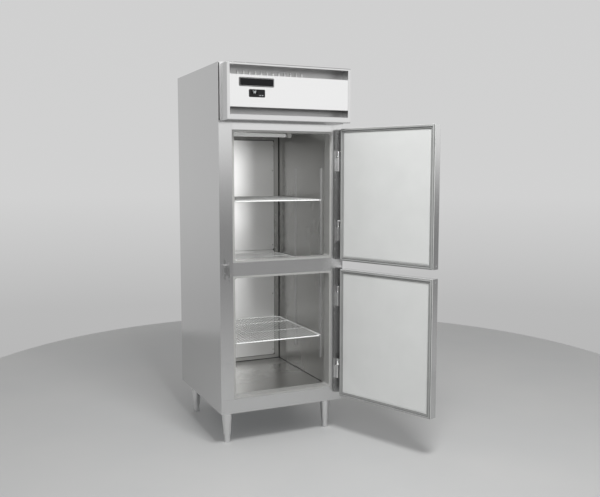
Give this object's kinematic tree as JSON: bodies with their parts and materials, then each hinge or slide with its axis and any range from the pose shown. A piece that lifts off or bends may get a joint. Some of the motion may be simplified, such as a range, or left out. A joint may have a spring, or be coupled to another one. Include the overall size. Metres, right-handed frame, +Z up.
{
  "type": "reach-in refrigerator",
  "caption": "One-section stainless reach-in refrigerator on four legs, with two half-height solid doors, wire shelves and a top-mounted refrigeration system behind a slotted hood.",
  "frame": {"origin": "on the floor, at the centre of the four feet", "axes": "+Z up, -Y out of the door openings (the front), +X to the right seen from the front, where the doors are hinged"},
  "size_m": [0.9874, 1.373, 2.04],
  "materials": {
    "stainless_outer": "satin",
    "stainless_liner": "satin",
    "galvanised": "satin",
    "rim_plastic": "satin",
    "foam": "matte",
    "standards": "satin",
    "shelf_coating": "gloss",
    "lamp_body": "satin",
    "lamp_glass": "gloss",
    "bright_hardware": "satin",
    "door_lining": "satin",
    "gasket": "matte",
    "black_plate": "gloss",
    "black_plastic": "gloss",
    "key_plastic": "satin",
    "compressor_paint": "satin",
    "fins": "satin",
    "fan_plastic": "satin",
    "copper": "satin",
    "housing_shell": "satin",
    "control_paint": "satin",
    "leg_metal": "satin"
  },
  "bodies": {
    "cabinet": {"back_panel": "galvanised", "bottom_panel": "galvanised", "bottom_rail": "stainless_outer", "breaker_lower": "rim_plastic", "breaker_upper": "rim_plastic", "cabinet_foam": "foam", "compressor": "compressor_paint", "condenser": "fins", "control_box": "control_paint", "controller": "black_plastic", "duct_panels": "stainless_liner", "evaporator_coil": "fins", "evaporator_housing": "housing_shell", "fan_shroud": "galvanised", "fasteners": "bright_hardware", "header_rail": "stainless_outer", "hinge_frame_halves": "bright_hardware", "hinge_pins": "bright_hardware", "hood_panel": "stainless_outer", "hood_shell": "stainless_outer", "lamp_fixture": "lamp_body", "lamp_tube": "lamp_glass", "leg_sleeves": "leg_metal", "liner": "stainless_liner", "lock_strike": "stainless_outer", "mullion_cover": "stainless_outer", "name_plate": "black_plate", "pilasters": "standards", "refrigerant_lines": "copper", "shelf_clips": "standards", "shelf_middle": "shelf_coating", "side_panel_left": "stainless_outer", "side_panel_right": "stainless_outer", "stile_left": "stainless_outer", "stile_right": "stainless_outer", "top_deck": "galvanised"},
    "door_upper": {"door_upper_skin": "stainless_outer", "door_upper_pan": "door_lining", "door_upper_gasket": "gasket", "door_upper_handle": "bright_hardware", "door_upper_hinge_halves": "bright_hardware"},
    "lock_cylinder_upper": {"door_upper_lock_cylinder": "bright_hardware"},
    "lock_bolt_upper": {"door_upper_lock_bolt": "bright_hardware"},
    "door_lower": {"door_lower_skin": "stainless_outer", "door_lower_pan": "door_lining", "door_lower_gasket": "gasket", "door_lower_handle": "bright_hardware", "door_lower_hinge_halves": "bright_hardware"},
    "lock_cylinder_lower": {"door_lower_lock_cylinder": "bright_hardware"},
    "lock_bolt_lower": {"door_lower_lock_bolt": "bright_hardware"},
    "shelf_upper": {"shelf_upper": "shelf_coating"},
    "shelf_lower": {"shelf_lower": "shelf_coating"},
    "key_down": {"key_down": "key_plastic"},
    "key_up": {"key_up": "key_plastic"},
    "condenser_fan": {"condenser_fan": "fan_plastic"},
    "evaporator_fan": {"evaporator_fan": "fan_plastic"},
    "foot_fl": {"foot_fl": "leg_metal"},
    "foot_fr": {"foot_fr": "leg_metal"},
    "foot_rl": {"foot_rl": "leg_metal"},
    "foot_rr": {"foot_rr": "leg_metal"}
  },
  "joints": [
    {"name": "door_upper_hinge", "type": "hinge", "parent": "cabinet", "child": "door_upper", "pos_m": [0.326, -0.4, 1.351], "axis": [0, 0, 1], "range_deg": [-112, 8]},
    {"name": "lock_upper_turn", "type": "hinge", "parent": "door_upper", "child": "lock_cylinder_upper", "pos_m": [0.59306, -0.94354, 1.034], "axis": [0.9272, 0.3746, 0], "range_deg": [0, 90]},
    {"name": "bolt_upper_slide", "type": "slide", "parent": "door_upper", "child": "lock_bolt_upper", "axis": [0.3746, -0.9272, 0], "range_m": [0, 0.024]},
    {"name": "door_lower_hinge", "type": "hinge", "parent": "cabinet", "child": "door_lower", "pos_m": [0.326, -0.4, 0.5785], "axis": [0, 0, 1], "range_deg": [-112, 8]},
    {"name": "lock_lower_turn", "type": "hinge", "parent": "door_lower", "child": "lock_cylinder_lower", "pos_m": [0.59306, -0.94354, 0.894], "axis": [0.9272, 0.3746, 0], "range_deg": [0, 90]},
    {"name": "bolt_lower_slide", "type": "slide", "parent": "door_lower", "child": "lock_bolt_lower", "axis": [0.3746, -0.9272, 0], "range_m": [0, 0.024]},
    {"name": "shelf_upper_slide", "type": "slide", "parent": "cabinet", "child": "shelf_upper", "axis": [0, -1, 0], "range_m": [0, 0.25]},
    {"name": "shelf_lower_slide", "type": "slide", "parent": "cabinet", "child": "shelf_lower", "axis": [0, -1, 0], "range_m": [0, 0.25]},
    {"name": "key_down_press", "type": "slide", "parent": "cabinet", "child": "key_down", "axis": [0, 1, 0], "range_m": [0, 0.0008], "stiffness_N_per_m": 400},
    {"name": "key_up_press", "type": "slide", "parent": "cabinet", "child": "key_up", "axis": [0, 1, 0], "range_m": [0, 0.0008], "stiffness_N_per_m": 400},
    {"name": "condenser_fan_spin", "type": "hinge", "parent": "cabinet", "child": "condenser_fan", "pos_m": [-0.135, -0.27, 1.888], "axis": [0, 1, 0], "continuous": true},
    {"name": "evaporator_fan_spin", "type": "hinge", "parent": "cabinet", "child": "evaporator_fan", "pos_m": [0.06, 0.189, 1.831], "axis": [0, 0, 1], "continuous": true},
    {"name": "foot_fl_screw", "type": "slide", "parent": "cabinet", "child": "foot_fl", "axis": [0, 0, 1], "range_m": [0, 0.025]},
    {"name": "foot_fr_screw", "type": "slide", "parent": "cabinet", "child": "foot_fr", "axis": [0, 0, 1], "range_m": [0, 0.025]},
    {"name": "foot_rl_screw", "type": "slide", "parent": "cabinet", "child": "foot_rl", "axis": [0, 0, 1], "range_m": [0, 0.025]},
    {"name": "foot_rr_screw", "type": "slide", "parent": "cabinet", "child": "foot_rr", "axis": [0, 0, 1], "range_m": [0, 0.025]}
  ],
  "couplings": [
    {"joint": "lock_upper_turn", "follows": "bolt_upper_slide", "rad_per_m": 65.44},
    {"joint": "lock_lower_turn", "follows": "bolt_lower_slide", "rad_per_m": 65.44}
  ]
}
